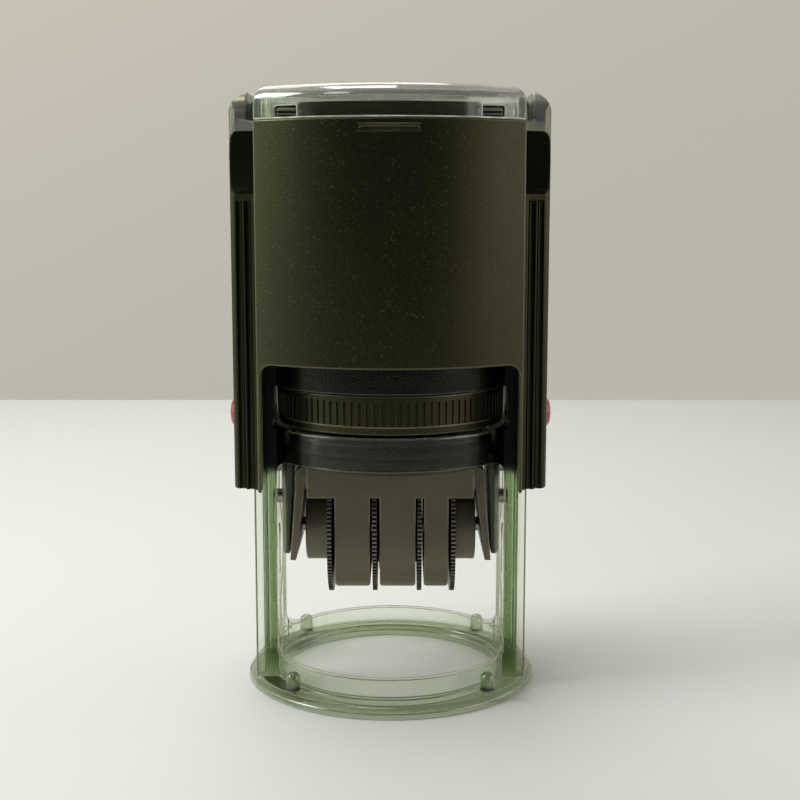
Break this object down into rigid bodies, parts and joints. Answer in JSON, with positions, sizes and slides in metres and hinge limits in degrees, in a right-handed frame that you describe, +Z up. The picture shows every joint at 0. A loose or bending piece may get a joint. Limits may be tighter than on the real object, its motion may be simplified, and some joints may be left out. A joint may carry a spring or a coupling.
{
  "type": "self-inking date stamp",
  "caption": "Round self-inking date stamp: a black handle slides down a clear frame and turns the die with its date wheels onto the paper.",
  "frame": {"origin": "centre of the base ring, on the surface the stamp stands on", "axes": "+Z up along the stroke, -Y to the front, +X along the wheel axle to the right"},
  "size_m": [0.0662, 0.06, 0.1204],
  "materials": {
    "clear_frame": "clear plastic with a green tint",
    "clear_cap": "clear colourless plastic",
    "handle_black": "satin black with a fine grain",
    "pad_black": "satin black",
    "ink_felt": "felt soaked in black ink",
    "yoke_steel": "zinc plated sheet",
    "screw_steel": "bright steel",
    "spring_steel": "drawn spring wire and leaf",
    "card": "dark insert block",
    "button_red": "gloss red",
    "carrier_grey": "warm dark grey",
    "cushion_foam": "closed cell foam",
    "die_rubber": "laser cut rubber",
    "housing_grey": "warm dark grey satin",
    "hub_black": "black satin",
    "band_rubber": "moulded rubber",
    "wheel_black": "black"
  },
  "bodies": {
    "frame": {"base_frame": "clear_frame", "return_spring": "spring_steel"},
    "ink_pad": {"ink_pad_cartridge": "pad_black", "ink_pad_felt": "ink_felt"},
    "handle": {"handle_shell": "handle_black", "handle_yoke": "yoke_steel", "yoke_screws": "screw_steel", "index_card": "card"},
    "cap": {"top_cap": "clear_cap"},
    "button_left": {"lock_button_left": "button_red"},
    "button_right": {"lock_button_right": "button_red"},
    "carrier": {"die_carrier": "carrier_grey", "trunnion_pins": "screw_steel", "cam_pins": "screw_steel", "text_cushion": "cushion_foam", "text_plate": "die_rubber", "date_housing": "housing_grey", "housing_screws": "screw_steel", "detent_spring": "spring_steel", "wheel_axle": "screw_steel", "date_hub_left": "hub_black", "date_hub_right": "hub_black", "band_anvil": "carrier_grey", "date_band_1": "band_rubber", "date_band_2": "band_rubber", "date_band_3": "band_rubber", "date_band_4": "band_rubber"},
    "wheel_1": {"date_wheel_1": "wheel_black"},
    "wheel_2": {"date_wheel_2": "wheel_black"},
    "wheel_3": {"date_wheel_3": "wheel_black"},
    "wheel_4": {"date_wheel_4": "wheel_black"}
  },
  "joints": [
    {"name": "handle_press", "type": "slide", "parent": "frame", "child": "handle", "axis": [0, 0, -1], "range_m": [0, 0.0382], "stiffness_N_per_m": 300, "springref_m": -0.012, "deforming": ["return_spring"]},
    {"name": "carrier_flip", "type": "hinge", "parent": "handle", "child": "carrier", "pos_m": [0, 0, 0.045], "axis": [1, 0, 0], "range_deg": [0, 180]},
    {"name": "ink_pad_slide", "type": "slide", "parent": "frame", "child": "ink_pad", "axis": [0, 1, 0], "range_m": [-0.052, 0]},
    {"name": "cap_lift", "type": "slide", "parent": "handle", "child": "cap", "axis": [0, 0, 1], "range_m": [0, 0.02]},
    {"name": "lock_button_left_press", "type": "slide", "parent": "handle", "child": "button_left", "axis": [1, 0, 0], "range_m": [0, 0.001], "stiffness_N_per_m": 400, "springref_m": -0.002},
    {"name": "lock_button_right_press", "type": "slide", "parent": "handle", "child": "button_right", "axis": [-1, 0, 0], "range_m": [0, 0.001], "stiffness_N_per_m": 400, "springref_m": -0.002},
    {"name": "date_wheel_1_turn", "type": "hinge", "parent": "carrier", "child": "wheel_1", "pos_m": [-0.01231, 0, 0.0317], "axis": [1, 0, 0], "continuous": true},
    {"name": "date_wheel_2_turn", "type": "hinge", "parent": "carrier", "child": "wheel_2", "pos_m": [-0.00321, 0, 0.0317], "axis": [1, 0, 0], "continuous": true},
    {"name": "date_wheel_3_turn", "type": "hinge", "parent": "carrier", "child": "wheel_3", "pos_m": [0.0059, 0, 0.0317], "axis": [1, 0, 0], "continuous": true},
    {"name": "date_wheel_4_turn", "type": "hinge", "parent": "carrier", "child": "wheel_4", "pos_m": [0.01269, 0, 0.0317], "axis": [1, 0, 0], "continuous": true}
  ],
  "couplings": [
    {"joint": "carrier_flip", "follows": "handle_press", "rad_per_m": 82.24}
  ]
}
